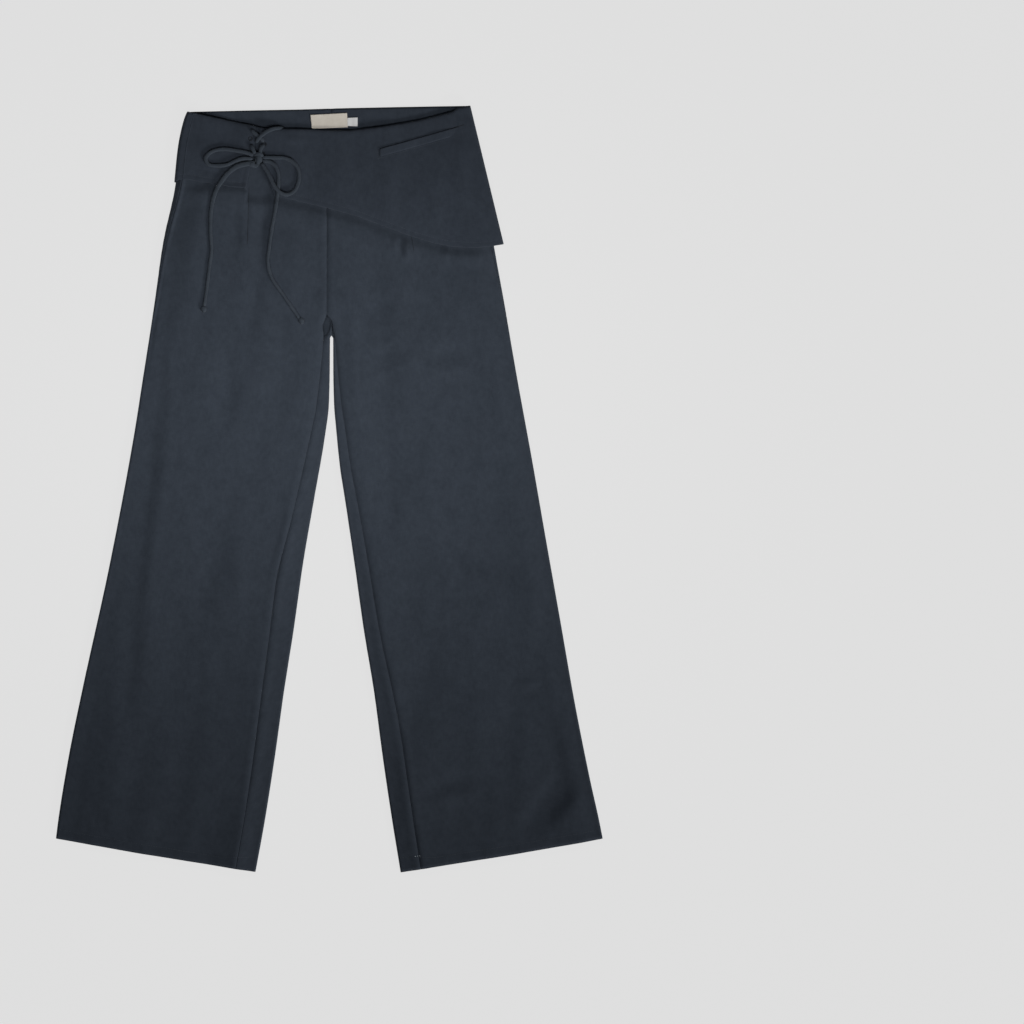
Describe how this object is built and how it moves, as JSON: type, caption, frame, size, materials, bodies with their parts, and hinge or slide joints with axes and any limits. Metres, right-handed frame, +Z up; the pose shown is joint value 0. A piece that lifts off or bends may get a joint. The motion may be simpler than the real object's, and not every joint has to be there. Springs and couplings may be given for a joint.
{
  "type": "layered trousers",
  "caption": "Wide-leg trousers laid flat with the front up, with a short slanting overlay in the waist seam, laced over a gap with a cloth tie in a bow.",
  "frame": {"origin": "centre of the footprint, on the surface that the trousers lie on", "axes": "+X towards the wearer's left, +Y from the hems to the waist, +Z up from the surface, out of the front"},
  "size_m": [0.7429, 1.0411, 0.0118],
  "materials": {
    "cloth": "matte plain weave, slate grey with a blue cast",
    "overlay": "matte plain weave, slate grey with a blue cast",
    "tie": "matte cloth tube",
    "label": "matte woven tape, beige and blank",
    "tab": "satin tape, white and blank"
  },
  "bodies": {
    "root": {"back_right": "cloth", "back_left": "cloth", "front_right": "cloth", "front_left": "cloth", "overlay_back": "overlay", "overlay_front_right": "overlay", "overlay_front_left": "overlay", "pocket_welt": "overlay", "label_main": "label", "label_size": "tab", "tie_cross_right": "tie", "tie_cross_left": "tie", "tie_lead_right": "tie", "tie_lead_left": "tie", "tie_knot": "tie", "tie_loop_right": "tie", "tie_loop_left": "tie", "tie_tail_right": "tie", "tie_tail_left": "tie", "tie_end_right": "tie", "tie_end_left": "tie"}
  },
  "joints": []
}
